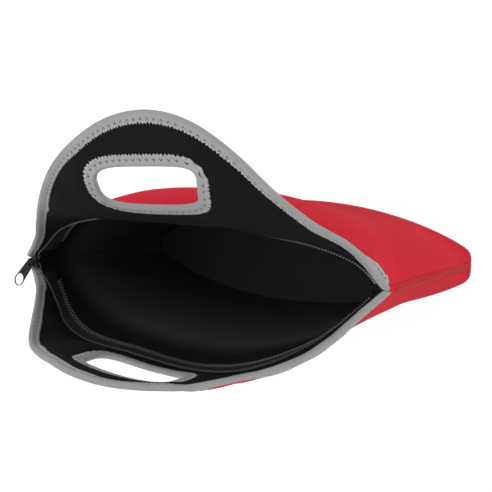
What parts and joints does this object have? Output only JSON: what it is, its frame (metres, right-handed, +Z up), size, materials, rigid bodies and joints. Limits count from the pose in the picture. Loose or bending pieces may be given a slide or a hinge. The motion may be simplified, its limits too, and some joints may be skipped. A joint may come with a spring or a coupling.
{
  "type": "lunch tote",
  "caption": "Insulated soft tote with a leaf-shaped base, two handle flaps with bound hand holes, bound edges and a coil zipper round its open mouth",
  "frame": {"origin": "centre of the base on the floor", "axes": "+Z up; X along the mouth with the slider at -X; the front panel is at -Y and the back panel at +Y"},
  "size_m": [0.3134, 0.178, 0.3057],
  "materials": {
    "red_knit": "fine knit over foam, matt",
    "foam": "closed-cell foam",
    "black_knit": "fine knit, matt",
    "grey_binding": "stretch binding, matt",
    "zipper_tape": "woven tape",
    "zipper_coil": "nylon coil",
    "black_metal": "black enamel, satin"
  },
  "bodies": {
    "bag": {"base_panel": "red_knit", "base_insulation": "foam", "base_lining": "black_knit", "front_panel": "red_knit", "front_insulation": "foam", "front_lining": "black_knit", "front_edge_binding": "grey_binding", "front_hole_binding": "grey_binding", "front_zipper_tape": "zipper_tape", "front_coil": "zipper_coil", "front_top_stop": "black_metal", "back_panel": "red_knit", "back_insulation": "foam", "back_lining": "black_knit", "back_edge_binding": "grey_binding", "back_hole_binding": "grey_binding", "back_zipper_tape": "zipper_tape", "back_coil": "zipper_coil", "back_top_stop": "black_metal"},
    "slider": {"slider_body": "black_metal"},
    "pull": {"pull_tab": "black_metal"}
  },
  "joints": [
    {"name": "zipper_slide", "type": "slide", "parent": "bag", "child": "slider", "axis": [0.9998, 0.0093, 0.0147], "range_m": [0, 0.27]},
    {"name": "pull_hinge", "type": "hinge", "parent": "slider", "child": "pull", "pos_m": [-0.14119, 0.00274, 0.19105], "axis": [-0.8102, 0.5862, 0], "range_deg": [0, 105]}
  ]
}
